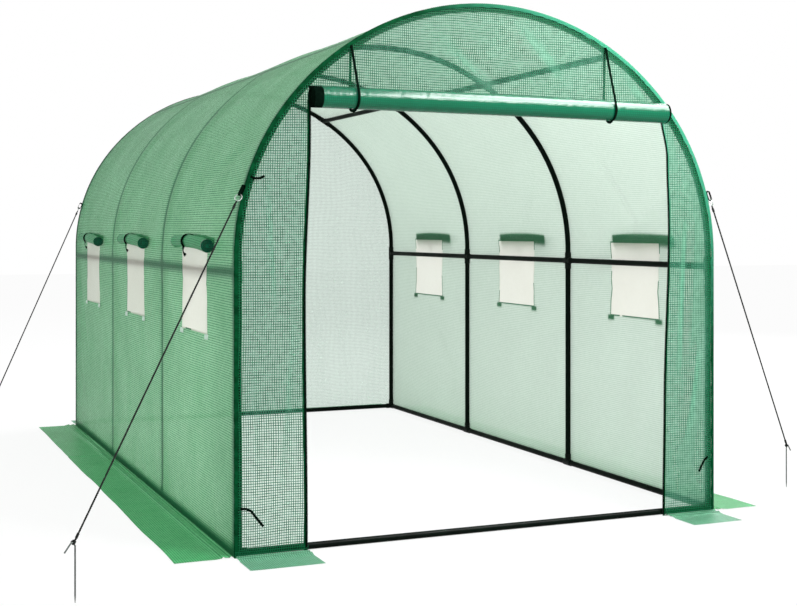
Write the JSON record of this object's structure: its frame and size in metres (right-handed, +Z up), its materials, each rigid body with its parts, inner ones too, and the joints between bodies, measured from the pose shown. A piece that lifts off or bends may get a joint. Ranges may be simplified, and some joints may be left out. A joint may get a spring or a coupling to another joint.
{
  "type": "polytunnel greenhouse",
  "caption": "Walk-in polytunnel greenhouse: plug-together tube hoops and rails under a green mesh film cover, with a rolled-up door, net windows, ground skirts and guy ropes",
  "frame": {"origin": "on the ground under the middle of the tunnel, which is also the middle of the square that the pegs mark out", "axes": "X to the right seen from the doorway, Y from the doorway to the back along the tunnel, Z up"},
  "size_m": [3.2846, 4.2522, 2.005],
  "materials": {
    "frame_tube": "dark powder coat on thin steel tube, slightly satin",
    "fitting_plastic": "moulded black polypropylene with a fine satin grain",
    "mesh_film": "translucent pale green polyethylene film over a woven grid of darker green thread",
    "rolled_film": "the same film in several layers, deeper green, with a soft gloss",
    "insect_net": "fine pale woven insect net",
    "black_webbing": "matt woven black tape",
    "rope": "dark grey laid cord",
    "ring_plastic": "clear to milky moulded plastic",
    "peg_steel": "dull zinc-plated round wire"
  },
  "bodies": {
    "root": {"front_hoop": "frame_tube", "second_hoop": "frame_tube", "third_hoop": "frame_tube", "back_hoop": "frame_tube", "front_base_bar": "frame_tube", "back_base_bar": "frame_tube", "left_base_rails": "frame_tube", "left_side_rails": "frame_tube", "left_purlins": "frame_tube", "right_base_rails": "frame_tube", "right_side_rails": "frame_tube", "right_purlins": "frame_tube", "base_corner_fittings": "fitting_plastic", "base_tee_fittings": "fitting_plastic", "rail_tee_fittings": "fitting_plastic", "rail_cross_fittings": "fitting_plastic", "purlin_tee_fittings": "fitting_plastic", "purlin_cross_fittings": "fitting_plastic", "left_wall_cover": "mesh_film", "right_wall_cover": "mesh_film", "left_shoulder_cover": "mesh_film", "crown_cover": "mesh_film", "right_shoulder_cover": "mesh_film", "front_left_panel": "mesh_film", "front_right_panel": "mesh_film", "front_gable_panel": "mesh_film", "back_panel": "mesh_film", "left_ground_flap": "mesh_film", "right_ground_flap": "mesh_film", "front_ground_flaps": "mesh_film", "back_ground_flap": "mesh_film", "door_roll": "rolled_film", "left_window_rolls": "rolled_film", "right_window_rolls": "rolled_film", "left_window_nets": "insect_net", "right_window_nets": "insect_net", "door_roll_straps": "black_webbing", "left_window_straps": "black_webbing", "right_window_straps": "black_webbing", "door_edge_tapes": "black_webbing", "guy_loops": "black_webbing", "guy_ropes": "rope", "guy_rings": "ring_plastic", "ground_pegs": "peg_steel"}
  },
  "joints": []
}
